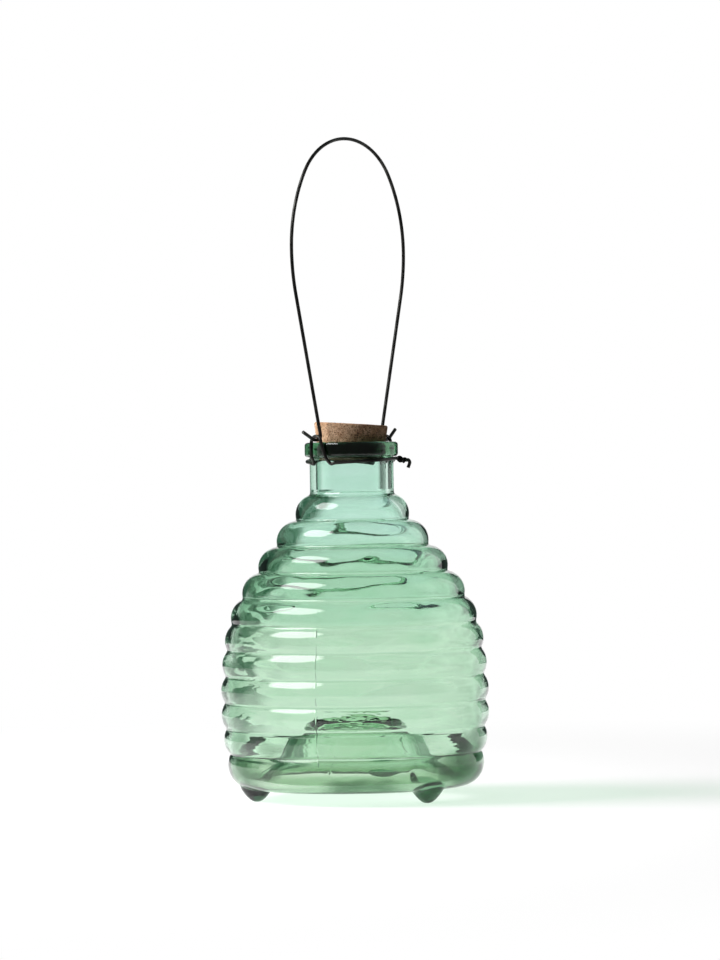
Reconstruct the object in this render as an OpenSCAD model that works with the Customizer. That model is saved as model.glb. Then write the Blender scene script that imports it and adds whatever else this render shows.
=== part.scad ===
// Glass fly trap: ribbed glass bottle with an upturned entry funnel in its base, a cork and a wire hanger.
// Millimetres. Z is up, the feet stand on z = 0, and the bottle's axis is the Z axis.
// The two wire ears lie on the X axis, so the bail stands in the XZ plane.

/* [Bottle wall] */
// Diameter that the creases between the rings run up to on the straight wall
wall_d = 139.4; // [124:0.2:156]
// Glass thickness at the creases
wall = 3; // [2:0.1:4.5]
// Number of rings above the base ring
ring_count = 10; // [8:1:12]
// Height of one ring
ring_pitch = 13.57; // [11.5:0.01:15.5]
// Radius of a ring's rounded outside
ring_arc = 10.8; // [9.6:0.1:16]
// Radius of a ring's rounded inside
inner_arc = 11.2; // [10.8:0.1:24]
// Diameter of the shoulder cone at the topmost crease
shoulder_d = 61.6; // [58:0.2:70]
// Radius that the shoulder cone gains for each millimetre down
shoulder_slope = 0.788; // [0.65:0.001:0.95]
// Rounding between the shoulder cone and the straight wall
shoulder_round = 7.28; // [3:0.01:11]
// How far the lowest crease lies inside the wall
heel_fall = 3; // [1.5:0.1:4]

/* [Neck and lip] */
// Diameter of the bore in the neck
bore_d = 36.2; // [28:0.2:42]
// Glass thickness of the neck
neck_wall = 4; // [3:0.1:5]
// Height from the foot of the neck to the top of the lip
neck_len = 27.4; // [22:0.1:45]
// Height of the lip
lip_h = 7.7; // [6:0.1:10]
// How far the lip stands out from the neck
lip_out = 2.5; // [1.5:0.1:4]
// Rounding of the lip's outer edges
lip_round = 1.5; // [1:0.1:2.9]
// Rounding of the mouth's inner edge
mouth_round = 1.5; // [0.8:0.1:2.2]

/* [Base and funnel] */
// Height of the base's underside above the ground
base_z = 6.4; // [4:0.1:9]
// Radius of the rounded base ring
base_arc = 12.5; // [11:0.1:14]
// How far the base ring lies inside the wall line
heel_step = 2.3; // [1.5:0.1:3.5]
// Glass thickness of base and funnel
base_wall = 4; // [3:0.1:5]
// Width of the flat floor of the bait trough
trough_w = 3; // [2:0.1:8]
// Diameter of the fly entry
throat_d = 47; // [36:0.5:56]
// Length of the straight part of the funnel
throat_len = 3.2; // [2:0.1:12]
// Rise of the funnel's cone in degrees
cone_rise = 45; // [38:1:52]

/* [Feet] */
// How far the feet stand inside the middle of the base ring
foot_inset = 1.4; // [-1:0.1:4]
// Direction of the first foot
foot_turn = 28; // [0:0.5:120]
// Radius of a foot's flat tip
foot_pad = 2; // [1.5:0.1:3]
// Rounding at the edge of a foot's tip
foot_round = 1.6; // [0.8:0.1:2]
// Radius of a foot where it meets the underside of the base
foot_top = 8; // [6:0.1:9]

/* [Cork] */
// Height of the cork above the lip
cork_head = 9.6; // [7:0.1:14]
// Depth of the cork below the lip
cork_depth = 9.5; // [7:0.1:14]
// Radius that the cork gains for each millimetre up
cork_taper = 0.13; // [0.06:0.005:0.16]
// Play between cork and bore
cork_play = 0.1; // [0.05:0.01:0.3]
// Slant of the cork's cut top in degrees
cork_slant = 3.8; // [0:0.1:6]
// Direction towards which the cut top falls
cork_turn = -45; // [-180:1:180]

/* [Wire] */
// Diameter of both wires
wire_d = 1.8; // [1.4:0.1:2.2]
// Play between the neck wire and the glass
wire_play = 0.3; // [0.15:0.05:0.6]
// Play between an ear and the bail's end in it
ear_play = 0.15; // [0.1:0.01:0.3]
// Half the distance between the two legs of an ear
ear_half = 3.6; // [3.4:0.1:5]
// How far the neck wire dips beside an ear
ear_dip = 2.4; // [1:0.1:3.5]
// How far the front leg of the left ear leans aside
ear_lean = 3.4; // [0:0.1:4.5]
// Direction of the twisted ends
twist_turn = -45; // [-70:1:-35]
// Length of the twist
twist_len = 4.8; // [4.6:0.1:7]
// Turns of the twist
twist_turns = 0.75; // [0.5:0.05:0.75]

/* [Bail] */
// Greatest width of the bail between wire centres
bail_w = 83; // [77:0.5:110]
// Height of the bail's widest place above the ears
bail_leg_h = 99.7; // [70:0.1:130]
// Height of the arch above the widest place
bail_arch_h = 58.7; // [45:0.1:80]
// Radius of the top of the arch
bail_top_r = 35.5; // [25:0.5:38]
// Radius of the bail's sides below the widest place
bail_side_r = 110; // [80:1:150]
// Length of the straight tail of each end
tail_len = 8.5; // [3:0.1:10]
// Rise of the tail in degrees
tail_rise = 45; // [20:1:70]

/* [Hidden] */
$fn = 96;

// Overlap that makes cuts run clear of the faces they cut
cut = 1;

wall_r = wall_d / 2;
bore_r = bore_d / 2;
neck_r = bore_r + neck_wall;
lip_r = neck_r + lip_out;

// Heights of the bottle, from the base up
base_c = [wall_r - heel_step - base_arc, base_z + base_arc];
// The lowest crease, in base ring radii above the underside
heel_share_up = 1.43;
heel_z = base_z + heel_share_up * base_arc;
neck_z = heel_z + ring_count * ring_pitch;
lip_top = neck_z + neck_len;
lip_low = lip_top - lip_h;

// Creases: number 0 is the foot of the neck, number ring_count is above the base ring.
// The crease line draws in over the lowest heel_rings rings.
heel_rings = 2.2;
shoulder_r = shoulder_d / 2;
function crease_z(i) = neck_z - i * ring_pitch;
function cone_r(i) = shoulder_r + shoulder_slope * (i - 1) * ring_pitch;
function blend_r(i) = (wall_r + cone_r(i)) / 2
    - sqrt(pow((wall_r - cone_r(i)) / 2, 2) + pow(shoulder_round, 2));
function heel_share(i) = pow(max(0, 1 - (ring_count - i) / heel_rings), 2);
function crease_r(i) = i == 0 ? neck_r : blend_r(i) - heel_fall * heel_share(i);
function crease(i) = [crease_r(i), crease_z(i)];

// Direction into the bottle, square to the line from one point down to the next
function inward(p, q) = [q.y - p.y, p.x - q.x] / norm(q - p);
function inner_crease(i) = i == 0
    ? [bore_r, neck_z - neck_wall / 2]
    : crease(i) + wall * inward(crease(i - 1), crease(min(i + 1, ring_count)));

// A ring is an arc over two creases
chord_margin = 1.08;
function arc_radius(p, q, r) = max(r, chord_margin * norm(q - p) / 2);
function arc_centre(p, q, r) = (p + q) / 2 + inward(p, q) * sqrt(r * r - pow(norm(q - p) / 2, 2));

module ring_disc(p, q, r) {
    radius = arc_radius(p, q, r);
    translate(arc_centre(p, q, radius))
        circle(r = radius);
}

// Base, trough and funnel
trough_r = base_c.x - trough_w;
throat_r = throat_d / 2;
cone_z = base_z + (trough_r - throat_r) * tan(cone_rise);
rim_z = cone_z + throat_len;

// Wire
wire_r = wire_d / 2;
collar_r = neck_r + wire_r + wire_play;
collar_z = lip_low - wire_r - wire_play;
ear_r = lip_r + wire_r + wire_play;
pivot_z = lip_top + wire_r + wire_play;
ear_z = pivot_z + wire_d + ear_play;

// Glass outline: the rings are a chain of discs, thick enough to hold the wall
module outer_profile() {
    for (i = [1 : ring_count])
        ring_disc(crease(i - 1), crease(i), ring_arc);
    translate([bore_r - cut, neck_z - ring_pitch / 2])
        square([neck_wall + cut, neck_len - lip_h + ring_pitch / 2 + cut]);
    lip_profile();
    base_profile();
}

module lip_profile() {
    inside = bore_r - cut;
    flat = lip_r - lip_round;
    translate([inside, lip_low])
        square([flat - inside, lip_h]);
    translate([inside, lip_low + lip_round])
        square([lip_r - inside, lip_h - 2 * lip_round]);
    for (z = [lip_low + lip_round, lip_top - lip_round])
        translate([flat, z])
            circle(r = lip_round);
}

module base_profile() {
    translate(base_c)
        circle(r = base_arc);
    translate([trough_r - cut, base_z])
        square([trough_w + cut, base_arc]);
}

// Space inside the glass: a chain of discs along the wall, the middle, the bore, the bait trough
// and the hole for the funnel
module cavity_profile() {
    for (i = [1 : ring_count])
        ring_disc(inner_crease(i - 1), inner_crease(i), inner_arc);
    polygon(concat(
        [[0, neck_z]],
        [for (i = [0 : ring_count]) inner_crease(i) - [wall, 0]],
        [[base_c.x, base_z + base_wall], [0, base_z + base_wall]]
    ));
    translate([0, neck_z - ring_pitch])
        square([bore_r, neck_len + ring_pitch + cut]);
    mouth_profile();
    translate(base_c)
        circle(r = base_arc - base_wall);
    translate([0, base_z - cut])
        square([trough_r, base_arc]);
}

// Corner taken off the inside of the lip
module mouth_profile() {
    difference() {
        translate([bore_r - cut, lip_top - mouth_round])
            square([mouth_round + cut, mouth_round + cut]);
        translate([bore_r + mouth_round, lip_top - mouth_round])
            circle(r = mouth_round);
    }
}

// Funnel wall: a cone rising from the trough floor into a short straight throat with a round rim
module funnel_profile() {
    rim_r = base_wall / 2;
    lift = base_wall / cos(cone_rise);
    cone_foot = trough_r + (lift - base_wall) / tan(cone_rise);
    throat_foot = cone_z + lift - base_wall * tan(cone_rise);
    polygon([
        [throat_r, rim_z],
        [throat_r, cone_z],
        [trough_r, base_z],
        [cone_foot, base_z],
        [cone_foot, base_z + base_wall],
        [throat_r + base_wall, throat_foot],
        [throat_r + base_wall, rim_z]
    ]);
    translate([throat_r + rim_r, rim_z])
        circle(r = rim_r);
}

module glass_bottle() {
    color([0.62, 0.82, 0.70, 0.5])
        rotate_extrude() {
            difference() {
                outer_profile();
                cavity_profile();
            }
            funnel_profile();
        }
}

// Feet: drops set under the base ring, shaped above by the base and the funnel
foot_circle = base_c.x - foot_inset;
foot_step = 120;
// Height above the underside where a foot's side turns upright
foot_root = 1.2;

// A drop reaches up to the middle of the base ring, which then shapes its top
module foot_drop() {
    toe_angle = 45;
    toe_steps = 4;
    toe = [for (k = [0 : toe_steps])
        let (a = -90 + toe_angle * k / toe_steps)
        [foot_pad + foot_round * cos(a), foot_round + foot_round * sin(a)]];
    rotate_extrude()
        polygon(concat(
            [[0, 0]],
            toe,
            [[foot_top, base_z + foot_root], [foot_top, base_c.y], [0, base_c.y]]
        ));
}

// Base and funnel filled solid, to shape the tops of the feet
module base_form() {
    rotate_extrude() {
        translate(base_c)
            circle(r = base_arc);
        polygon([[throat_r, cone_z], [trough_r, base_z], [base_c.x, base_z], [base_c.x, cone_z]]);
    }
}

module foot(turn) {
    color([0.45, 0.68, 0.56, 0.6])
        difference() {
            rotate([0, 0, turn])
                translate([foot_circle, 0, 0])
                    foot_drop();
            base_form();
        }
}

module foot_back() {
    foot(foot_turn);
}

module foot_left() {
    foot(foot_turn + foot_step);
}

module foot_front() {
    foot(foot_turn + 2 * foot_step);
}

// Cork: a cone that just clears the bore below the rounded mouth, cut off at a slant
cork_seat_z = lip_top - mouth_round;
cork_low = lip_top - cork_depth;
cork_high = lip_top + cork_head;
function cork_r(z) = bore_r - cork_play + cork_taper * (z - cork_seat_z);

module cork_stopper() {
    spare = 2 * bore_r * tan(cork_slant) + cut;
    blank_high = cork_high + spare;
    color([0.72, 0.55, 0.36])
        difference() {
            translate([0, 0, cork_low])
                cylinder(r1 = cork_r(cork_low), r2 = cork_r(blank_high), h = blank_high - cork_low);
            translate([0, 0, cork_high])
                rotate([0, 0, cork_turn])
                    rotate([0, cork_slant, 0])
                        translate([-2 * bore_r, -2 * bore_r, 0])
                            cube([4 * bore_r, 4 * bore_r, 3 * spare]);
        }
}

// Neck wire: one length bent round the neck, up into two ears, and twisted together at its ends
wire_sides = 10;
curve_steps = 3;
function unit(v) = v / norm(v);

// Smooth curve through points
function curve_at(a, b, c, d, t) =
    (2 * b + (c - a) * t + (2 * a - 5 * b + 4 * c - d) * t * t + (3 * b - a - 3 * c + d) * t * t * t) / 2;
function curve(p, steps) = let (
    last = len(p) - 1,
    q = concat([2 * p[0] - p[1]], p, [2 * p[last] - p[last - 1]])
) concat(
    [for (i = [0 : last - 1]) for (k = [0 : steps - 1])
        curve_at(q[i], q[i + 1], q[i + 2], q[i + 3], k / steps)],
    [p[last]]
);

// Point at a distance from the axis, a distance sideways and a height, seen from the direction turn
function about(turn, out, side, z) = [
    out * cos(turn) - side * sin(turn),
    out * sin(turn) + side * cos(turn),
    z
];
function ring_point(angle, z) = [collar_r * cos(angle), collar_r * sin(angle), z];
function ring_angle(side) = side / collar_r * 180 / PI;

// One leg of an ear as [out, sideways, height], from the collar up to the start of the crown.
// The wire leaves the collar ear_bend beside the leg.
ear_bend = 2.2;
ear_foot = [
    [collar_r, ear_half + ear_bend, collar_z - 0.9 * ear_dip],
    [collar_r + 0.1 * wire_d, ear_half + 0.25 * ear_bend, collar_z - ear_dip],
    [collar_r + 0.5 * wire_d, ear_half, collar_z - 0.5 * ear_dip],
    [ear_r - 0.2 * wire_d, ear_half, collar_z + 0.3 * wire_d],
    [ear_r, ear_half, collar_z + 2 * wire_d]
];
ear_shoulder = ear_z - ear_half;
crown_steps = 6;
crown = [for (k = [0 : crown_steps])
    let (a = 180 * k / crown_steps)
    [ear_r, -ear_half * cos(a), ear_shoulder + ear_half * sin(a)]];

// An ear up one leg, over the crown and down the other leg, whose foot leans aside
leg_drop = ear_shoulder - collar_z + ear_dip;
function leaned(turn, lean, z) = turn + ring_angle(lean * (ear_shoulder - z) / leg_drop);
function ear(turn, lean) = concat(
    [for (p = ear_foot) about(turn, p[0], -p[1], p[2])],
    [for (p = crown) about(turn, p[0], p[1], p[2])],
    [for (p = backwards(ear_foot)) about(leaned(turn, lean, p[2]), p[0], p[1], p[2])]
);

// Part of the collar between two directions, stepped about every collar_step degrees.
// It hangs below collar_z by sag_from at one end and by sag_to at the other.
collar_step = 22;
ear_sag = 0.75 * ear_dip;
function collar(from, to, sag_from, sag_to) = let (n = max(1, round((to - from) / collar_step)))
    [for (k = [0 : n])
        ring_point(from + (to - from) * k / n, collar_z - sag_from - (sag_to - sag_from) * k / n)];

// Twisted ends, running outwards in the direction twist_turn. One strand is cut off a little shorter.
strand_gap = 0.5;
strand_r = (wire_d + strand_gap) / 2;
twist_from = collar_r + 0.5 * wire_d;
twist_to = twist_from + twist_len;
twist_steps = 8;
short_steps = 6;
function strand(phase, steps) = [for (k = [0 : steps])
    let (a = phase + 360 * twist_turns * k / twist_steps)
    about(
        twist_turn,
        twist_from + twist_len * k / twist_steps,
        strand_r * cos(a),
        collar_z + strand_r * sin(a)
    )];
function backwards(p) = [for (k = [len(p) - 1 : -1 : 0]) p[k]];
short_strand = strand(0, short_steps);
long_strand = strand(180, twist_steps);

// The longer end turns down in a small hook that leans aside
hook_r = 1.6;
hook_lean = 1.2;
hook_end = 2.4;
hook_turn = 110;
hook_steps = 4;
function hook_point(a, run) = about(
    twist_turn,
    twist_to + hook_r * sin(a) + run * cos(a),
    -hook_lean * a / hook_turn,
    collar_z + strand_r - hook_r + hook_r * cos(a) - run * sin(a)
);
hook = concat(
    [for (k = [1 : hook_steps]) hook_point(hook_turn * k / hook_steps, 0)],
    [hook_point(hook_turn, hook_end)]
);

// Room along the collar for an ear and for the twist
ear_room = 5;
twist_room = 4.2;
ear_reach = ring_angle(ear_half + ear_room);
twist_reach = ring_angle(twist_room);
wire_path = curve(concat(
    backwards(short_strand),
    collar(twist_turn + twist_reach, -ear_reach, 0, ear_sag),
    ear(0, 0),
    collar(ear_reach, 90 - collar_step / 2, ear_sag, 0),
    collar(90 + collar_step / 2, 180 - ear_reach, 0, ear_sag),
    ear(180, ear_lean),
    collar(180 + ear_reach + ring_angle(ear_lean), 360 + twist_turn - twist_reach, ear_sag, 0),
    long_strand,
    hook
), curve_steps);

// Least clear space between the two twisted ends
function least_gap(p, q) = min([for (a = p) for (b = q) norm(a - b)]) - wire_d;
short_end = curve(short_strand, curve_steps);
long_end = curve(concat(long_strand, hook), curve_steps);
echo(least_gap_of_twist = least_gap(short_end, long_end));

// Tube along a path, without twist from one ring to the next
function headings(p) = [for (i = [0 : len(p) - 1]) unit(p[min(i + 1, len(p) - 1)] - p[max(i - 1, 0)])];
function squared(v, t) = unit(v - (v * t) * t);
function sides_of(t) = [for (
    i = 0, s = squared([0, 0, 1], t[0]);
    i < len(t);
    i = i + 1, s = squared(s, t[min(i, len(t) - 1)])
) s];

module tube(p, r, n) {
    t = headings(p);
    s = sides_of(t);
    rings = len(p);
    points = [for (i = [0 : rings - 1]) for (j = [0 : n - 1])
        p[i] + r * cos(360 * j / n) * s[i] + r * sin(360 * j / n) * cross(t[i], s[i])];
    skin = [for (i = [0 : rings - 2]) for (j = [0 : n - 1])
        let (a = i * n + j, b = i * n + (j + 1) % n)
        each [[a, a + n, b], [b, a + n, b + n]]];
    ends = [
        [for (j = [0 : n - 1]) j],
        [for (j = [n - 1 : -1 : 0]) (rings - 1) * n + j]
    ];
    polyhedron(points = points, faces = concat(skin, ends));
}

module neck_wire() {
    color([0.14, 0.13, 0.13])
        tube(wire_path, wire_r, wire_sides);
}

// Bail: arcs and straight lengths in the XZ plane, drawn from the line through the ears up
bail_half = bail_w / 2;
bend_r = 1.25 * wire_d;
pivot_half = 1;
bend_x = ear_r - pivot_half;
hook_x = ear_r + pivot_half;

// The arch: a top arc, and side arcs that meet it without a corner
arch_in = bail_half - bail_top_r;
arch_up = bail_arch_h - bail_top_r;
arch_d = (arch_in * arch_in + arch_up * arch_up) / (2 * arch_in);
arch_side_r = arch_d + bail_top_r;
arch_angle = asin(arch_up / arch_d);

// The leg: a straight line that touches the side arc above and the bend at the ear below
side_c = [bail_half - bail_side_r, bail_leg_h];
bend_c = [bend_x, bend_r];
leg_run = bend_c - side_c;
leg_tilt = -atan2(leg_run.y, leg_run.x) - acos((bail_side_r + bend_r) / norm(leg_run));
leg_dir = [cos(leg_tilt), -sin(leg_tilt)];
leg_top = side_c + bail_side_r * leg_dir;
leg_low = bend_c - bend_r * leg_dir;
tail_from = [hook_x + bend_r * sin(tail_rise), bend_r - bend_r * cos(tail_rise)];
tail_to = tail_from + tail_len * [cos(tail_rise), sin(tail_rise)];

// Points on an arc, from one angle to another in n steps
function arc_points(centre, r, from, to, n) = [for (k = [0 : n])
    let (a = from + (to - from) * k / n)
    centre + r * [cos(a), sin(a)]];
arch_side_c = [bail_half - arch_side_r, bail_leg_h];
arch_top_c = [0, bail_leg_h + arch_up];

// Right half of the bail from the tip of its tail to just before the top
bend_steps = 6;
side_steps = 4;
top_steps = 8;
half_path = concat(
    [tail_to],
    arc_points([hook_x, bend_r], bend_r, 270 + tail_rise, 270, bend_steps),
    arc_points(bend_c, bend_r, 270, 180 - leg_tilt, bend_steps),
    arc_points(side_c, bail_side_r, -leg_tilt, 0, side_steps),
    [for (k = [1 : side_steps]) arc_points(arch_side_c, arch_side_r, 0, arch_angle, side_steps)[k]],
    [for (k = [1 : top_steps - 1]) arc_points(arch_top_c, bail_top_r, arch_angle, 90, top_steps)[k]]
);
bail_path = concat(
    [for (p = half_path) [p.x, 0, pivot_z + p.y]],
    [[0, 0, pivot_z + bail_leg_h + bail_arch_h]],
    [for (p = backwards(half_path)) [-p.x, 0, pivot_z + p.y]]
);

// The length of wire inside an ear is worn truly round, a hair thicker than the drawn wire beside it
pin_extra = 0.02;
pin_short = 0.1;

module pin() {
    translate([bend_x + pin_short, 0, pivot_z])
        rotate([0, 90, 0])
            cylinder(r = wire_r + pin_extra, h = 2 * (pivot_half - pin_short));
}

module bail() {
    color([0.14, 0.13, 0.13]) {
        tube(bail_path, wire_r, wire_sides);
        pin();
        mirror([1, 0, 0])
            pin();
    }
}

glass_bottle();
foot_left();
foot_front();
foot_back();
cork_stopper();
neck_wire();
bail();
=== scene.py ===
"""Looks of a glass fly trap: ribbed bottle with feet, cork, neck wire and bail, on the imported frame.

Metres, Z up, the feet on z = 0, the bottle's axis on the Z axis and the two wire ears on the X axis.
"""

from math import acos, asin, atan2, cos, hypot, pi, radians, sin, sqrt, tan

import bmesh
import bpy
from bpy.props import FloatProperty, FloatVectorProperty, IntProperty, PointerProperty
from bpy.types import Operator, Panel, PropertyGroup
from mathutils import Matrix, Vector, noise


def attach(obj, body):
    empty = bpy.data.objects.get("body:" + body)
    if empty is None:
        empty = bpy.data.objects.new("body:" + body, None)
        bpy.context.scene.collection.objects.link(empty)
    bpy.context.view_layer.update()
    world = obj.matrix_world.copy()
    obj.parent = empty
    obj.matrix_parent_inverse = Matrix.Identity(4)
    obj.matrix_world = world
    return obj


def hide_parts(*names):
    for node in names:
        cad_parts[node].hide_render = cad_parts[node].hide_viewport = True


bl_info = {
    "name": "Glass fly trap",
    "version": (1, 0, 0),
    "blender": (4, 5, 0),
    "location": "View3D > Sidebar > Fly trap",
    "description": "Builds a ribbed glass fly trap with a cork and a wire hanger",
    "category": "Object",
}

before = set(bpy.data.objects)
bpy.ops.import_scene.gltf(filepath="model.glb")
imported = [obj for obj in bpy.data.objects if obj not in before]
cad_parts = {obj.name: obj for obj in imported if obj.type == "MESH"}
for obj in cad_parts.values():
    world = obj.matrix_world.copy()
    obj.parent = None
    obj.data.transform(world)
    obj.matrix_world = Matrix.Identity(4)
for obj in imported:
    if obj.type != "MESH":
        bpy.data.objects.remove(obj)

MM = 0.001
QUARTER = pi / 2
WHITE = (1, 1, 1, 1)


def length(name, description, millimetres):
    """Setting for a length, given in millimetres."""
    return FloatProperty(name=name, description=description, default=millimetres * MM, unit="LENGTH")


def angle(name, description, degrees):
    """Setting for an angle, given in degrees."""
    return FloatProperty(name=name, description=description, default=radians(degrees), subtype="ANGLE")


def number(name, description, default):
    """Setting for a number without a unit."""
    return FloatProperty(name=name, description=description, default=default)


def rgb(name, description, red, green, blue):
    """Setting for an opaque colour."""
    return FloatVectorProperty(
        name=name, description=description, subtype="COLOR", size=4, default=(red, green, blue, 1)
    )


class GlassSettings(PropertyGroup):
    """Sizes and colours of the bottle."""

    wall_diameter: length("Wall diameter", "Diameter that the creases between the rings run up to", 139.4)
    wall: length("Wall", "Glass thickness at the creases", 3)
    ring_count: IntProperty(name="Rings", description="Rings above the base ring", default=10)
    ring_height: length("Ring height", "Height of one ring", 13.57)
    ring_arc: length("Ring arc", "Radius of a ring's rounded outside", 10.8)
    inner_arc: length("Inner arc", "Radius of a ring's inside", 11.2)
    shoulder_diameter: length("Shoulder", "Diameter of the shoulder cone at the topmost crease", 61.6)
    shoulder_slope: number("Shoulder slope", "Radius that the shoulder gains for each unit down", 0.788)
    shoulder_round: length("Shoulder rounding", "Rounding between shoulder cone and straight wall", 7.28)
    heel_fall: length("Heel fall", "How far the lowest crease draws in", 3)
    bore_diameter: length("Bore", "Diameter of the bore in the neck", 36.2)
    neck_wall: length("Neck wall", "Glass thickness of the neck", 4)
    neck_length: length("Neck length", "From the foot of the neck to the lip's top", 27.4)
    lip_height: length("Lip height", "Height of the lip", 7.7)
    lip_out: length("Lip overhang", "How far the lip stands out from the neck", 2.5)
    base_height: length("Base height", "Height of the base's underside", 6.4)
    base_arc: length("Base arc", "Radius of the rounded base ring", 12.5)
    heel_step: length("Heel step", "How far the base ring lies inside the wall", 2.3)
    base_wall: length("Base wall", "Glass thickness of base and funnel", 4)
    trough_width: length("Trough width", "Flat floor of the bait trough", 3)
    throat_diameter: length("Fly entry", "Diameter of the entry funnel's throat", 47)
    throat_length: length("Throat length", "Straight part of the funnel", 2.5)
    cone_rise: angle("Cone rise", "Rise of the funnel's cone", 45)
    foot_inset: length("Foot inset", "How far the feet stand inside the base ring's middle", 1.4)
    foot_turn: angle("Foot direction", "Direction of the first foot", 28)
    foot_top: length("Foot radius", "Radius of a foot under the base", 8)
    inner_smoothing: IntProperty(
        name="Inner smoothing", description="How far the inside is levelled between the rings", default=2
    )
    waviness: length("Waviness", "Depth of the uneven blown inside", 0.5)
    body_tint: rgb("Body tint", "Colour of one wall of the body", 0.785, 0.915, 0.805)
    # The glass's colour, darkened by painted shade along the shoulder's rings.
    shoulder_tint_and_shade: rgb("Shoulder tint", "Colour of one wall of the shoulder", 0.69, 0.87, 0.75)
    neck_tint: rgb("Neck tint", "Colour of one wall of the neck", 0.80, 0.95, 0.90)
    # The lip's deep green is partly the thick glass's own colour and partly painted shade, for the dark
    # cork behind it and the dark studio it mirrors.
    lip_tint_and_shade: rgb("Lip tint", "Colour of the thick lip", 0.10, 0.26, 0.14)
    base_tint: rgb("Base tint", "Colour of the thick base ring", 0.61, 0.73, 0.585)
    heel_tint: rgb("Heel tint", "Colour of the wall above the base", 0.81, 0.93, 0.83)
    rim_tint: rgb("Rim tint", "Colour of the funnel's rim", 0.66, 0.81, 0.66)
    edge_tint: rgb("Edge tint", "Deepening of the glass seen edge on", 0.62, 0.82, 0.70)
    foot_tint: rgb("Foot tint", "Colour of the solid feet", 0.14, 0.32, 0.19)
    patch_tint: rgb("Patch tint", "Colour of the darker patches", 0.08, 0.20, 0.10)
    funnel_tint: rgb("Funnel tint", "Colour of the thin funnel", 0.98, 1, 0.97)
    depth_tint: rgb("Depth tint", "Colour that thick glass turns to", 0.15, 0.60, 0.30)
    depth_density: number("Depth density", "How fast thick glass darkens", 22)


class CorkSettings(PropertyGroup):
    """Sizes and colours of the cork."""

    head: length("Head", "Height above the lip", 9.6)
    depth: length("Depth", "Depth below the lip", 9.5)
    taper: number("Taper", "Radius gained for each unit up", 0.13)
    play: length("Play", "Gap to the bore", 0.1)
    slant: angle("Slant", "Slant of the cut top", 3.8)
    slant_turn: angle("Slant direction", "Where the cut top falls to", -45)
    light: rgb("Light grain", "Colour of pale grains", 0.60, 0.41, 0.27)
    # Near-black painted shade on the cork inside the mouth, where little light reaches it through the
    # glass.
    mouth_shade: rgb("Mouth shade", "Colour inside the mouth", 0.012, 0.011, 0.008)
    dark: rgb("Dark grain", "Colour of dark grains", 0.16, 0.095, 0.055)


class WireSettings(PropertyGroup):
    """Sizes and colours of the neck wire and the bail."""

    diameter: length("Diameter", "Diameter of both wires", 1.8)
    glass_play: length("Play to glass", "Gap between neck wire and glass", 0.3)
    ear_play: length("Play in ears", "Gap between ear and bail", 0.15)
    ear_half: length("Half ear", "Half the width of an ear", 3.6)
    ear_dip: length("Ear dip", "Dip of the wire beside an ear", 2.4)
    ear_lean: length("Ear lean", "How far the left ear's front leg leans aside", 3.4)
    twist_turn: angle("Twist direction", "Direction of the twisted ends", -45)
    twist_length: length("Twist", "Length of the twist", 4.8)
    twist_turns: number("Twist turns", "Turns of the twist", 0.9)
    bail_width: length("Bail width", "Greatest width of the bail", 83)
    bail_leg: length("Bail leg", "Height of the widest place above the ears", 99.7)
    bail_arch: length("Bail arch", "Height of the arch above the widest place", 58.7)
    bail_top: length("Bail top", "Radius of the arch's top", 35.5)
    bail_side: length("Bail side", "Radius of the sides below the widest place", 110)
    right_tail: length("Right tail", "Tail of the right end", 7)
    right_rise: angle("Right tail rise", "Rise of the right tail", 45)
    left_tail: length("Left tail", "Tail of the left end", 8.5)
    left_rise: angle("Left tail rise", "Rise of the left tail", 28)
    bare: rgb("Bare iron", "Colour of rubbed iron", 0.050, 0.050, 0.046)
    scale: rgb("Scale", "Colour of the dark annealing scale", 0.012, 0.012, 0.011)


class StageSettings(PropertyGroup):
    """Camera, light and floor."""

    eye_height: length("Eye height", "Height of the level camera", 167.36)
    distance: length("Distance", "Camera to the bottle's axis", 2157)
    aside: length("Aside", "How far the line of sight passes right of the axis", 4.32)
    turn: angle("Turn", "Direction of the camera", -45)
    roll: angle("Roll", "Lean of the camera", -0.9)
    lens: number("Lens", "Focal length in millimetres", 153.75)
    sky: number("Sky", "Strength of the even light all round", 0.06)
    ceiling: rgb("Ceiling", "Dark ceiling that the glass shows", 0.12, 0.17, 0.13)
    window: rgb("Window", "Pale light high at the right that the glass shows", 0.30, 0.42, 0.50)
    front_side: rgb("Front side", "Dim camera's side that the glass mirrors", 0.12, 0.12, 0.12)
    floor: rgb("Floor", "Paint of the floor", 0.5, 0.5, 0.5)
    key_power: number("Key power", "Power of the large soft lamp at the left", 34.0)
    flags: rgb("Flags", "Dark cards round the stage", 0.06, 0.15, 0.10)
    neck_flags: rgb("Neck flags", "Dark cards behind the neck", 0.015, 0.05, 0.035)
    side_flags: rgb("Side flags", "Cards at both sides that the glass mirrors", 0.06, 0.10, 0.08)
    softbox: number("Softbox", "Brightness of the softbox that the glass mirrors", 10.0)


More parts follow.
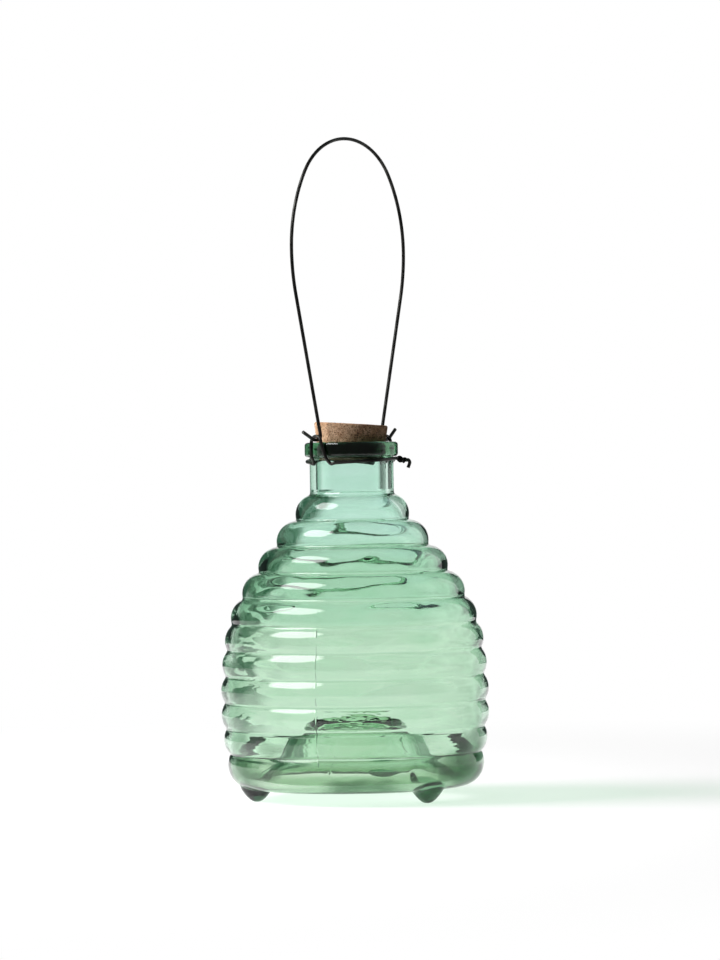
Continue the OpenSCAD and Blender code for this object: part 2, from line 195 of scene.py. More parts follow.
class BottleForm:
    """Radii and heights of the glass, worked out from its settings."""

    LIP_ROUND = 1.5 * MM
    MOUTH_ROUND = 1.5 * MM
    # Height of the lowest crease above the base, in radii of the base ring.
    HEEL_SHARE = 1.43
    # Rings over which the lowest creases draw in.
    HEEL_RINGS = 2.2
    # Least radius of a ring's arc, in half chords.
    CHORD_MARGIN = 1.08
    # Radius of the funnel's bends, on its underside.
    CONE_BEND = 7 * MM
    # Share of the waviness inside each ring, from the neck down; the last one goes for the rings below too.
    WAVES = (0.3, 1, 1, 1, 1, 1, 1, 0.5, 0.1)
    # Waviness of the outside as a share of the inside's.
    OUTSIDE_SHARE = 0.3

    def __init__(self, s):
        self.s = s
        self.wall_r = s.wall_diameter / 2
        self.bore_r = s.bore_diameter / 2
        self.neck_r = self.bore_r + s.neck_wall
        self.lip_r = self.neck_r + s.lip_out
        self.base_c = Vector((self.wall_r - s.heel_step - s.base_arc, s.base_height + s.base_arc))
        self.neck_z = s.base_height + self.HEEL_SHARE * s.base_arc + s.ring_count * s.ring_height
        self.lip_top = self.neck_z + s.neck_length
        self.lip_low = self.lip_top - s.lip_height
        self.trough_r = self.base_c.x - s.trough_width
        self.throat_r = s.throat_diameter / 2
        self.cone_z = s.base_height + (self.trough_r - self.throat_r) * tan(s.cone_rise)
        self.foot_circle = self.base_c.x - s.foot_inset

    def foot_middles(self):
        """Middles of the three feet, seen from above."""
        return [polar(self.foot_circle, self.s.foot_turn + k * radians(120)) for k in range(3)]

    def crease(self, i):
        """Outer crease i; 0 is the foot of the neck and the last one is above the base ring."""
        s = self.s
        z = self.neck_z - i * s.ring_height
        if i == 0:
            return Vector((self.neck_r, z))
        cone = s.shoulder_diameter / 2 + s.shoulder_slope * (i - 1) * s.ring_height
        middle = (self.wall_r + cone) / 2
        blend = middle - hypot((self.wall_r - cone) / 2, s.shoulder_round)
        heel = max(0, 1 - (s.ring_count - i) / self.HEEL_RINGS) ** 2
        return Vector((blend - s.heel_fall * heel, z))

    def inner_crease(self, i):
        """Point of the inside behind outer crease i."""
        if i == 0:
            return Vector((self.bore_r, self.neck_z - self.s.neck_wall / 2))
        across = inward(self.crease(i - 1), self.crease(min(i + 1, self.s.ring_count)))
        return self.crease(i) + self.s.wall * across

    def waves(self, i):
        """Share of the waviness inside ring i."""
        return self.WAVES[min(i, len(self.WAVES)) - 1]

    def ring(self, p, q, radius, step):
        """Points of the outward arc over two creases."""
        half = (q - p).length / 2
        radius = max(radius, self.CHORD_MARGIN * half)
        centre = (p + q) / 2 + inward(p, q) * sqrt(radius * radius - half * half)
        start = atan2(p.y - centre.y, p.x - centre.x)
        sweep = -2 * asin(half / radius)
        return arc(centre, radius, start, start + sweep, step)


def inward(p, q):
    """Direction into the bottle, square to the line from one point down to the next."""
    run = q - p
    return Vector((run.y, -run.x)).normalized()


def spread(start, end, count):
    """Even steps from a start to an end."""
    return [start + (end - start) * k / count for k in range(count + 1)]


def polar(radius, turn):
    """Point of a plane at a distance from its origin, in a direction."""
    return radius * Vector((cos(turn), sin(turn)))


def arc(centre, radius, start, end, step):
    """Points on an arc, about one step apart."""
    count = max(2, round(abs(end - start) * radius / step))
    return [centre + polar(radius, a) for a in spread(start, end, count)]


def line(p, q, step):
    """Points on a line, about one step apart."""
    count = max(1, round((q - p).length / step))
    return [p.lerp(q, k / count) for k in range(count + 1)]


class Outline:
    """Closed outline of the glass in radius and height; each point has its share of waves and underside."""

    LEAST_STEP = 0.02 * MM

    def __init__(self):
        self.points = []
        self.waves = []
        self.under = []

    def add(self, points, wave=0.0, under=0.0):
        for p in points:
            if self.points and (p - self.points[-1]).length < self.LEAST_STEP:
                continue
            self.points.append(p)
            self.waves.append(wave)
            self.under.append(under)

    def soften(self, near, passes):
        """Rounds the outline at the points with the given numbers."""
        count = len(self.points)
        for _ in range(passes):
            before = list(self.points)
            for k in near:
                self.points[k] = (before[k - 1] + 2 * before[k] + before[(k + 1) % count]) / 4


def add_outside(out, form):
    """Adds the lip, the neck, the rings and the heel, and returns the numbers of the creases' points."""
    s = form.s
    lip_step = 0.6 * MM
    neck_step = 1.5 * MM
    ring_step = 1.1 * MM
    lip_in = form.lip_r - form.LIP_ROUND
    mouth_c = Vector((form.bore_r + form.MOUTH_ROUND, form.lip_top - form.MOUTH_ROUND))
    out.add(arc(mouth_c, form.MOUTH_ROUND, 2 * QUARTER, QUARTER, lip_step))
    out.add(arc(Vector((lip_in, form.lip_top - form.LIP_ROUND)), form.LIP_ROUND, QUARTER, 0, lip_step))
    out.add(arc(Vector((lip_in, form.lip_low + form.LIP_ROUND)), form.LIP_ROUND, 0, -QUARTER, lip_step))
    out.add(line(Vector((form.neck_r, form.lip_low)), form.crease(0), neck_step))
    creases = [len(out.points) - 1]
    for i in range(1, s.ring_count + 1):
        ring = form.ring(form.crease(i - 1), form.crease(i), s.ring_arc, ring_step)
        out.add(ring, wave=form.OUTSIDE_SHARE * form.waves(i))
        creases.append(len(out.points) - 1)
    heel = asin(form.HEEL_SHARE - 1)
    out.add(arc(form.base_c, s.base_arc, heel, 0, ring_step))
    return creases


def add_underside(out, form):
    """Adds the underside of the base and the funnel, over its rim and down again inside the bottle."""
    s = form.s
    under_step = 0.9 * MM
    rim_step = 0.8 * MM
    cone_step = 1.4 * MM
    cone_wave = 0.25
    rise = s.cone_rise
    bend = form.CONE_BEND
    rim_r = s.base_wall / 2
    rim_c = Vector((form.throat_r + rim_r, form.cone_z + s.throat_length))
    low_c = Vector((form.trough_r + bend * tan(rise / 2), s.base_height + bend))
    high_c = Vector((form.throat_r + bend, form.cone_z + bend * tan((QUARTER - rise) / 2)))

    def cone(radius, step):
        """The funnel's slope, from the trough up to the throat."""
        low = arc(low_c, radius, -QUARTER, -QUARTER - rise, step)
        high = arc(high_c, radius, -QUARTER - rise, -2 * QUARTER, step)
        return low + line(low[-1], high[0], step) + high

    out.add(arc(form.base_c, s.base_arc, 0, -QUARTER, under_step), under=1.0)
    out.add(cone(bend, under_step), under=1.0)
    out.add(arc(rim_c, rim_r, 2 * QUARTER, 0, rim_step))
    out.add(cone(bend - s.base_wall, cone_step)[::-1], wave=cone_wave)


def add_inside(out, form):
    """Adds the trough, the rings' inside and the bore, and returns the numbers of the points to level."""
    s = form.s
    trough_step = 1.6 * MM
    trough_wave = 0.6
    ring_step = 1.2 * MM
    bore_step = 2 * MM
    trough_arc = s.base_arc - s.base_wall
    foot_of_wall = form.inner_crease(s.ring_count)
    heel = asin(max(-1, min(1, (foot_of_wall.y - form.base_c.y) / trough_arc)))
    out.add(arc(form.base_c, trough_arc, -QUARTER, heel, trough_step), wave=trough_wave)
    level_from = len(out.points) - 2
    for i in range(s.ring_count, 0, -1):
        ring = form.ring(form.inner_crease(i - 1), form.inner_crease(i), s.inner_arc, ring_step)
        out.add(ring[::-1], wave=form.waves(i))
    level_to = len(out.points) + 3
    mouth = Vector((form.bore_r, form.lip_top - form.MOUTH_ROUND))
    out.add(line(form.inner_crease(0), mouth, bore_step)[:-1])
    return range(level_from, level_to)


def bottle_outline(form):
    """The glass from the mouth down the outside, through the funnel and up the inside."""
    out = Outline()
    creases = add_outside(out, form)
    add_underside(out, form)
    inside = add_inside(out, form)
    out.soften(creases, 1)
    out.soften(inside, form.s.inner_smoothing)
    return out


def put(name, data):
    """Puts a new object into the scene."""
    made = bpy.data.objects.new(name, data)
    bpy.context.scene.collection.objects.link(made)
    return made


def new_object(bm, name, material):
    """Makes an object of a bmesh."""
    mesh = bpy.data.meshes.new(name)
    bm.to_mesh(mesh)
    bm.free()
    mesh.materials.append(material)
    return put(name, mesh)


def finish_piece(bm, name, material, body, nodes):
    """Makes a smooth piece of a bmesh, and hangs it on the frame."""
    piece = new_object(bm, name, material)
    piece.data.shade_smooth()
    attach(piece, body)
    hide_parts(*nodes)


def spin_round(bm, points, steps, closed, layers=()):
    """Spins an outline round the Z axis; layers pairs a vertex layer with the values of the points."""
    verts = []
    for k, p in enumerate(points):
        vert = bm.verts.new((p.x, 0, p.y))
        for layer, values in layers:
            vert[layer] = values[k]
        verts.append(vert)
    first = 0 if closed else 1
    edges = [bm.edges.new((verts[k - 1], verts[k])) for k in range(first, len(verts))]
    bmesh.ops.spin(
        bm, geom=verts + edges, cent=(0, 0, 0), axis=(0, 0, 1), angle=2 * pi, steps=steps, use_merge=True
    )
    if not closed:
        bmesh.ops.holes_fill(bm, edges=[e for e in bm.edges if e.is_boundary])
    bmesh.ops.recalc_face_normals(bm, faces=bm.faces)


def foot_height(distance, s):
    """Height of a foot at a distance from its middle: a small flat, a round drop and then steep sides."""
    flat = 1 * MM
    fullness = 1.7
    steep = 4
    share = max(0, min(distance, s.foot_top) - flat) / (s.foot_top - flat)
    return s.base_height * share**fullness + steep * max(0, distance - s.foot_top)


def pull_feet(bm, form, under):
    """Refines the underside at three places and draws it down into feet."""
    s = form.s
    reach = 12 * MM
    fade_from = 1.5 * reach
    merge = 1.4 * MM
    lift = (hypot(s.base_height, merge) - s.base_height) / 2
    middles = form.foot_middles()

    def from_foot(co):
        return min((co.xy - m).length for m in middles)

    below = [f for f in bm.faces if all(v[under] > 0.5 for v in f.verts)]
    near = [f for f in below if from_foot(f.calc_center_median()) < reach]
    edges = {e for f in near for e in f.edges}
    bmesh.ops.subdivide_edges(bm, edges=list(edges), cuts=1, use_grid_fill=True)
    for v in bm.verts:
        if v[under] < 0.5:
            continue
        distance = from_foot(v.co)
        if distance > fade_from:
            continue
        foot = foot_height(distance, s)
        share = min(1, (fade_from - distance) / (fade_from - reach))
        low = (v.co.z + foot - hypot(v.co.z - foot, merge)) / 2 + lift
        v.co.z += share * (low - v.co.z)


def ripple(co, across, up):
    """Smooth unevenness, longer round the bottle than up it."""
    return noise.noise(Vector((co.x / across, co.y / across, co.z / up)))


def make_wavy(bm, wave, depth):
    """Moves the glass in and out along its normals."""
    apart = Vector((1, 2, 3))
    fine_share = 0.35
    bm.normal_update()
    moves = []
    for v in bm.verts:
        broad = ripple(v.co, across=34 * MM, up=11 * MM)
        fine = ripple(v.co + apart, across=16 * MM, up=5 * MM)
        moves.append(v.normal * (depth * v[wave] * (broad + fine_share * fine)))
    for v, move in zip(bm.verts, moves, strict=True):
        v.co += move


class Nodes:
    """The nodes of a material or of the sky, added one by one."""

    def __init__(self, tree):
        self.tree = tree
        tree.nodes.clear()

    def add(self, kind, inputs=(), **settings):
        """New node with settings; inputs pairs a socket's name or number with a value or another socket."""
        made = self.tree.nodes.new(kind)
        for name, value in settings.items():
            setattr(made, name, value)
        for name, value in dict(inputs).items():
            if isinstance(value, bpy.types.NodeSocket):
                self.tree.links.new(value, made.inputs[name])
            else:
                made.inputs[name].default_value = value
        return made

    def math(self, operation, a, b=0.0):
        return self.add("ShaderNodeMath", {0: a, 1: b}, operation=operation).outputs[0]

    def times(self, a, b):
        return self.math("MULTIPLY", a, b)

    def vector(self, operation, a, b=(0, 0, 0)):
        """Number for a length, distance or dot product, and else a vector."""
        made = self.add("ShaderNodeVectorMath", {0: a, 1: b}, operation=operation)
        return made.outputs["Value" if operation in ("LENGTH", "DISTANCE", "DOT_PRODUCT") else "Vector"]

    def part(self, vector, axis):
        """One coordinate of a vector."""
        return self.add("ShaderNodeSeparateXYZ", {0: vector}).outputs[axis]

    def place(self):
        """Place on the piece, in metres."""
        return self.add("ShaderNodeTexCoord").outputs["Object"]

    def mapped(self, place, **change):
        """Place after a change of Scale or Rotation."""
        return self.add("ShaderNodeMapping", {"Vector": place, **change}).outputs["Vector"]

    def noise(self, place, scale, detail, output="Fac"):
        inputs = {"Vector": place, "Scale": scale, "Detail": detail}
        return self.add("ShaderNodeTexNoise", inputs).outputs[output]

    def fade(self, value, start, end):
        """0 at the start value, 1 at the end value and smooth between them."""
        inputs = {"Value": value, "From Min": start, "From Max": end}
        return self.add("ShaderNodeMapRange", inputs, interpolation_type="SMOOTHSTEP").outputs["Result"]

    def ramp(self, value, stops):
        """Value through a colour ramp; stops pairs a place with a colour."""
        made = self.add("ShaderNodeValToRGB", {"Fac": value})
        band = made.color_ramp
        while len(band.elements) < len(stops):
            band.elements.new(0.5)
        for element, (place, colour) in zip(band.elements, stops, strict=True):
            element.position = place
            element.color = colour
        return made.outputs["Color"]

    def mix(self, share, a, b, blend="MIX"):
        """Colour a, turned into colour b by a share."""
        made = self.add("ShaderNodeMix", {0: share, 6: a, 7: b}, data_type="RGBA", blend_type=blend)
        return made.outputs[2]

    def stain(self, *colours):
        """Product of colours."""
        found = colours[0]
        for colour in colours[1:]:
            found = self.mix(1.0, found, colour, "MULTIPLY")
        return found

    def bump(self, relief, strength, distance):
        inputs = {"Strength": strength, "Distance": distance, "Height": relief}
        return self.add("ShaderNodeBump", inputs).outputs["Normal"]

    def shader(self, kind, inputs=()):
        return self.add(kind, inputs).outputs[0]

    def glow(self, colour, strength=1.0):
        return self.shader("ShaderNodeEmission", {"Color": colour, "Strength": strength})

    def blend(self, share, a, b):
        """Shader a, turned into shader b by a share."""
        return self.shader("ShaderNodeMixShader", {0: share, 1: a, 2: b})

    def ray(self, kind):
        """A socket that is 1 for rays of a kind, such as Glossy."""
        return self.add("ShaderNodeLightPath").outputs[f"Is {kind} Ray"]

    def finish(self, surface):
        return self.add("ShaderNodeOutputMaterial", {"Surface": surface})


def new_material(name):
    material = bpy.data.materials.new(name)
    material.use_nodes = True
    return material, Nodes(material.node_tree)


class GlassZones:
    """Heights, or distances from the axis or a foot, between which a tint goes from none to all."""

    # SHOULDER gives the heights over which the shoulder's painted shade comes in.
    SHOULDER = (85 * MM, 105 * MM)
    NECK = (122 * MM, 150 * MM)
    HEEL = (44 * MM, 36 * MM)
    BASE = (26 * MM, 14 * MM)
    SEAM = (110 * MM, 90 * MM)
    FUNNEL_SIDE = (52 * MM, 44 * MM)
    FUNNEL_TOP = (60 * MM, 50 * MM)
    FOOT_SIDE = (11 * MM, 8 * MM)
    FOOT_TOP = (10.5 * MM, 9 * MM)
    # Where the lip starts and ends to deepen, above its underside.
    LIP = (-1 * MM, 2.5 * MM)
    RIM_DEPTH = 2 * MM


# Places of darker green patches in the glass: direction in degrees, distance from the axis, height and
# reach in millimetres, how flat the place is and how deep its colour.
DARK_PATCHES = (
    (287, 62, 19, 28, 1.5, 1.0),
    (160, 60, 14, 20, 1.3, 0.85),
    (229, 60, 8.5, 25, 5.0, 0.85),
    (186, 66, 30, 15, 3.0, 0.45),
    (163, 68, 32, 12, 2.0, 0.4),
    (293, 68, 32, 13, 2.5, 0.4),
)


def with_dark_patches(n, place, tint, deepest):
    """Tint with deeper colour at the darker green patches."""
    full_share = 0.4
    uneven = n.times(n.math("SUBTRACT", n.noise(place, scale=70, detail=1), 0.5), 30 * MM)
    for degrees, out, up, reach, squash, deep in DARK_PATCHES:
        spot = MM * Vector((*polar(out, radians(degrees)), squash * up))
        away = n.vector("DISTANCE", n.mapped(place, Scale=(1, 1, squash)), spot)
        share = n.fade(n.math("ADD", away, uneven), reach * MM, full_share * reach * MM)
        tint = n.mix(n.times(share, deep), tint, deepest)
    return tint


def glass_tint(n, s, place):
    """Colour of one wall of the glass at each place, and how far the place belongs to the funnel's rim."""
    form = BottleForm(s)
    zones = GlassZones
    height = n.part(place, "Z")
    level = n.vector("MULTIPLY", place, (1, 1, 0))
    from_axis = n.vector("LENGTH", level)
    from_foot = 1.0
    for middle in form.foot_middles():
        from_foot = n.math("MINIMUM", n.vector("DISTANCE", level, (*middle, 0)), from_foot)
    in_funnel = n.times(n.fade(from_axis, *zones.FUNNEL_SIDE), n.fade(height, *zones.FUNNEL_TOP))
    at_rim = n.times(in_funnel, n.fade(height, form.cone_z, form.cone_z + zones.RIM_DEPTH))
    at_foot = n.times(n.fade(from_foot, *zones.FOOT_SIDE), n.fade(height, *zones.FOOT_TOP))
    lip = [form.lip_low + above for above in zones.LIP]
    tint = s.body_tint
    by_height = (
        # The shoulder's tint holds painted shade.
        (zones.SHOULDER, s.shoulder_tint_and_shade),
        (zones.NECK, s.neck_tint),
        # The lip's colour is partly painted shade.
        (lip, s.lip_tint_and_shade),
        (zones.HEEL, s.heel_tint),
        (zones.BASE, s.base_tint),
    )
    for zone, next_tint in by_height:
        tint = n.mix(n.fade(height, *zone), tint, next_tint)
    tint = n.mix(in_funnel, tint, s.funnel_tint)
    tint = n.mix(at_rim, tint, s.rim_tint)
    tint = with_dark_patches(n, place, tint, s.patch_tint)
    return n.mix(at_foot, tint, s.foot_tint), at_rim


def glass_relief(n, place, flat):
    """Normal of the glass: a faintly uneven skin, and the mould's seam as a low ridge on two sides."""
    seam_turn = radians(28)
    seam_half = 0.45 * MM
    seam_share = 0.7
    skin_share = 0.25
    depth = 0.06 * MM
    aside = n.part(n.mapped(place, Rotation=(0, 0, -seam_turn)), "Y")
    steps = n.math("DIVIDE", aside, seam_half)
    ridge = n.math("EXPONENT", n.times(n.times(steps, steps), -1.0))
    seam = n.times(ridge, n.fade(n.part(place, "Z"), *GlassZones.SEAM))
    skin = n.noise(flat, scale=130, detail=1)
    relief = n.math("ADD", n.times(seam, seam_share), n.times(skin, skin_share))
    return n.bump(relief, strength=1.0, distance=depth)


def glass_material(s):
    """Clear pale green glass: tinted in the wall and in its depth, with faint streaks and a mould seam."""
    streak_tint = (0.95, 0.985, 0.96, 1)
    lamp_tint = (0.85, 0.93, 0.87, 1)
    flatness = 3.5
    edge_on = (0.4, 0.9)
    glass_bend = 1.5
    rim_bend = 1.15
    material, n = new_material("sea_green_glass")
    place = n.place()
    flat = n.mapped(place, Scale=(1, 1, flatness))
    tint, at_rim = glass_tint(n, s, place)
    streaks = n.ramp(n.noise(flat, scale=45, detail=2), [(0.35, streak_tint), (0.65, WHITE)])
    facing = n.add("ShaderNodeLayerWeight", {"Blend": 0.5}).outputs["Facing"]
    edge = n.mix(n.fade(facing, *edge_on), WHITE, s.edge_tint)
    colour = n.stain(tint, streaks, edge)
    normal = glass_relief(n, place, flat)

    def clear(bending):
        """Clear glass with an index of refraction."""
        inputs = {"Base Color": colour, "Roughness": 0.0, "IOR": bending, "Transmission Weight": 1}
        return n.shader("ShaderNodeBsdfPrincipled", {**inputs, "Normal": normal})

    # The funnel's rim bends light little, so that it shows as a soft green band and not as a black one.
    glass = n.blend(at_rim, clear(glass_bend), clear(rim_bend))
    through = n.shader("ShaderNodeBsdfTransparent", {"Color": lamp_tint})
    output = n.finish(n.blend(n.ray("Shadow"), glass, through))
    depth = n.shader("ShaderNodeVolumeAbsorption", {"Color": s.depth_tint, "Density": s.depth_density})
    n.tree.links.new(depth, output.inputs["Volume"])
    return material


def cork_material(s, mouth):
    """Pressed cork: pale and dark grains with dark gaps, rough and matt; painted shade darkens it below the
    mouth.
    """
    grain_scale = 1700
    warp = 1.4 * MM
    # Heights where the painted shade inside the mouth begins, and where it has faded to dark grain.
    mouth_shade_start = (mouth + 0.5 * MM, mouth - 1.5 * MM)
    mouth_shade_end = (mouth - 5 * MM, mouth - 9 * MM)
    dark = tuple(s.dark)
    light = tuple(s.light)
    between = tuple((a + 2 * b) / 3 for a, b in zip(dark, light, strict=True))
    palest = tuple(1.15 * c for c in light)
    material, n = new_material("pressed_cork")
    place = n.place()
    height = n.part(place, "Z")
    bent = n.vector("MULTIPLY", n.noise(place, scale=900, detail=2, output="Color"), (warp, warp, warp))
    cells = {"Vector": n.vector("ADD", place, bent), "Scale": grain_scale}
    grains = n.add("ShaderNodeTexVoronoi", cells).outputs["Color"]
    edges = n.add("ShaderNodeTexVoronoi", cells, feature="DISTANCE_TO_EDGE").outputs["Distance"]
    shade = n.add("ShaderNodeSeparateColor", {0: grains}).outputs["Red"]
    fine = n.noise(place, scale=2100, detail=3)
    grain = n.ramp(shade, [(0.0, dark), (0.14, between), (0.4, light), (1.0, palest)])
    specks = n.ramp(fine, [(0.34, (0.22, 0.16, 0.12, 1)), (0.46, WHITE)])
    gaps = n.ramp(edges, [(0.0, (0.6, 0.5, 0.42, 1)), (0.12, WHITE)])
    patches = n.ramp(n.noise(place, scale=260, detail=3), [(0.4, (0.72, 0.64, 0.58, 1)), (0.6, WHITE)])
    # Painted shade over the cork's grain: near black at the mouth, fading to dark grain further down.
    mouth_shade = n.mix(n.fade(height, *mouth_shade_end), s.mouth_shade, dark)
    colour = n.mix(n.fade(height, *mouth_shade_start), n.stain(grain, specks, gaps, patches), mouth_shade)
    relief = n.math("ADD", n.times(edges, 1.5), n.times(fine, 0.8))
    skin = {"Base Color": colour, "Roughness": 0.92, "Specular IOR Level": 0.25}
    normal = n.bump(relief, strength=0.8, distance=0.25 * MM)
    n.finish(n.shader("ShaderNodeBsdfPrincipled", {**skin, "Normal": normal}))
    return material


def wire_material(s):
    """Dark annealed iron: black scale, rubbed to grey in patches, with fine drawing marks."""
    material, n = new_material("annealed_iron")
    place = n.place()
    patches = n.noise(place, scale=160, detail=4)
    fine = n.noise(place, scale=1800, detail=2)
    colour = n.ramp(patches, [(0.4, s.scale), (0.68, s.bare)])
    range_of_rough = {"From Min": 0.35, "From Max": 0.7, "To Min": 0.45, "To Max": 0.27}
    rough = n.add("ShaderNodeMapRange", {"Value": patches, **range_of_rough}).outputs["Result"]
    relief = n.math("ADD", n.times(patches, 0.6), n.times(fine, 0.4))
    iron = {"Base Color": colour, "Metallic": 0.85, "Roughness": rough}
    normal = n.bump(relief, strength=0.5, distance=0.05 * MM)
    n.finish(n.shader("ShaderNodeBsdfPrincipled", {**iron, "Normal": normal}))
    return material


def shared_wire(s):
    """The iron that both wires are made of."""
    return bpy.data.materials.get("annealed_iron") or wire_material(s)


class FLYTRAP_OT_glass(Operator):
    """Make the ribbed bottle with its entry funnel and three feet"""

    bl_idname = "flytrap.glass"
    bl_label = "Make the glass bottle"

    def execute(self, context):
        s = context.scene.flytrap_glass
        form = BottleForm(s)
        outline = bottle_outline(form)
        bm = bmesh.new()
        floats = bm.verts.layers.float
        wave = floats.new("wave")
        under = floats.new("under")
        layers = ((wave, outline.waves), (under, outline.under))
        spin_round(bm, outline.points, steps=200, closed=True, layers=layers)
        make_wavy(bm, wave, s.waviness)
        pull_feet(bm, form, under)
        for name in ("wave", "under"):
            floats.remove(floats[name])
        nodes = ("glass_bottle", "foot_left", "foot_front", "foot_back")
        finish_piece(bm, "bottle_glass", glass_material(s), "bottle", nodes)
        return {"FINISHED"}


def cork_outline(s, form):
    """Half section of the cork from the middle of its foot to the middle of its level top."""
    edge = 0.7 * MM
    hole = 0.4 * MM
    bottom_step = 1.5 * MM
    side_step = 0.6 * MM
    top_step = 0.8 * MM
    low = form.lip_top - s.depth
    high = form.lip_top + s.head
    seat = form.lip_top - form.MOUTH_ROUND

    def radius(z):
        return form.bore_r - s.play + s.taper * (z - seat)

    foot = radius(low)
    rim = radius(high)
    bottom = line(Vector((hole, low)), Vector((foot - edge, low)), bottom_step)
    side = line(Vector((foot, low + edge)), Vector((rim, high - edge)), side_step)
    top = line(Vector((rim - edge, high)), Vector((hole, high)), top_step)
    return bottom + [Vector((radius(p.y), p.y)) for p in side] + top


def cut_slant(bm, s, mouth):
    """Slants the top of the cork, less and less down to the mouth."""
    fall = polar(1, s.slant_turn)
    for v in bm.verts:
        share = max(0, (v.co.z - mouth) / s.head)
        v.co.z -= share * tan(s.slant) * v.co.xy.dot(fall)


def pit_skin(bm):
    """Sinks shallow pits into the cork's skin."""
    depth = 0.1 * MM
    coarse = 2.2 * MM
    fine = 0.9 * MM
    fine_share = 0.6
    plenty = 0.3
    bm.normal_update()
    for v in bm.verts:
        rough = noise.noise(v.co / coarse) + fine_share * noise.noise(v.co / fine)
        v.co -= v.normal * (depth * max(0, rough + plenty))


class FLYTRAP_OT_cork(Operator):
    """Make the tapered cork with its slanting top"""

    bl_idname = "flytrap.cork"
    bl_label = "Make the cork"

    def execute(self, context):
        s = context.scene.flytrap_cork
        form = BottleForm(context.scene.flytrap_glass)
        bm = bmesh.new()
        spin_round(bm, cork_outline(s, form), steps=160, closed=False)
        cut_slant(bm, s, form.lip_top)
        pit_skin(bm)
        finish_piece(bm, "cork_grained", cork_material(s, form.lip_top), "cork", ("cork_stopper",))
        return {"FINISHED"}


def about(turn, out, side, z):
    """Point at a distance from the axis, a distance sideways and a height, seen from a direction."""
    return Vector((
        out * cos(turn) - side * sin(turn),
        out * sin(turn) + side * cos(turn),
        z,
    ))


def smooth_curve(points, steps):
    """Smooth curve through points."""
    ends = [2 * points[0] - points[1], *points, 2 * points[-1] - points[-2]]
    found = []
    for a, b, c, d in zip(ends, ends[1:], ends[2:], ends[3:]):
        for k in range(steps):
            t = k / steps
            square = (2 * a - 5 * b + 4 * c - d) * t**2
            cube = (3 * b - a - 3 * c + d) * t**3
            found.append((2 * b + (c - a) * t + square + cube) / 2)
    return [*found, points[-1]]


def sweep_wire(path, radius, sides):
    """Round wire along a path, by carrying one circle from point to point, with softened cut ends."""
    soft_share = 0.2
    bm = bmesh.new()
    last = len(path) - 1
    headings = [(path[min(k + 1, last)] - path[max(k - 1, 0)]).normalized() for k in range(last + 1)]
    start = Matrix.Translation(path[0]) @ headings[0].to_track_quat("Z", "Y").to_matrix().to_4x4()
    ring = bmesh.ops.create_circle(bm, cap_ends=True, segments=sides, radius=radius, matrix=start)["verts"]
    first = {e for v in ring for e in v.link_edges}
    edges = list(first)
    for k in range(last):
        grown = bmesh.ops.extrude_edge_only(bm, edges=edges)["geom"]
        moved = [g for g in grown if isinstance(g, bmesh.types.BMVert)]
        edges = [g for g in grown if isinstance(g, bmesh.types.BMEdge)]
        turn = headings[k].rotation_difference(headings[k + 1]).to_matrix()
        bmesh.ops.rotate(bm, verts=moved, cent=path[k], matrix=turn)
        bmesh.ops.translate(bm, verts=moved, vec=path[k + 1] - path[k])
    bmesh.ops.holes_fill(bm, edges=edges)
    bmesh.ops.recalc_face_normals(bm, faces=bm.faces)
    soft = soft_share * radius
    bmesh.ops.bevel(
        bm, geom=[*first, *edges], offset=soft, segments=2, profile=0.5, affect="EDGES", material=-1,
        clamp_overlap=True,
    )
    return bm


class WireForm:
    """Places that the neck wire and the bail share."""

    COLLAR_STEP = radians(22)

    def __init__(self, s, form):
        self.r = s.diameter / 2
        self.collar_r = form.neck_r + self.r + s.glass_play
        self.collar_z = form.lip_low - self.r - s.glass_play
        self.ear_r = form.lip_r + self.r + s.glass_play
        self.pivot_z = form.lip_top + self.r + s.glass_play
        self.ear_z = self.pivot_z + s.diameter + s.ear_play

    def collar(self, start, end, sag_from, sag_to):
        """Points of the collar between two directions, and how far it hangs down at its ends."""
        count = max(1, round((end - start) / self.COLLAR_STEP))
        ways = zip(spread(start, end, count), spread(sag_from, sag_to, count), strict=True)
        return [about(turn, self.collar_r, 0, self.collar_z - sag) for turn, sag in ways]


def ear_points(s, w, turn, lean):
    """The wire up one leg of an ear, over its crown and down the other leg, whose foot leans aside."""
    d = s.diameter
    bend = 2.2 * MM
    foot = [
        (w.collar_r, s.ear_half + bend, w.collar_z - 0.9 * s.ear_dip),
        (w.collar_r + 0.1 * d, s.ear_half + 0.25 * bend, w.collar_z - s.ear_dip),
        (w.collar_r + 0.5 * d, s.ear_half, w.collar_z - 0.5 * s.ear_dip),
        (w.ear_r - 0.2 * d, s.ear_half, w.collar_z + 0.3 * d),
        (w.ear_r, s.ear_half, w.collar_z + 2 * d),
    ]
    crown_steps = 6
    shoulder = w.ear_z - s.ear_half
    turns = spread(0, pi, crown_steps)
    crown = [about(turn, w.ear_r, -s.ear_half * cos(a), shoulder + s.ear_half * sin(a)) for a in turns]
    drop = shoulder - w.collar_z + s.ear_dip

    def leaned(z):
        return turn + lean * (shoulder - z) / drop / w.collar_r

    up = [about(turn, out, -side, z) for out, side, z in foot]
    down = [about(leaned(z), out, side, z) for out, side, z in reversed(foot)]
    return up + crown + down


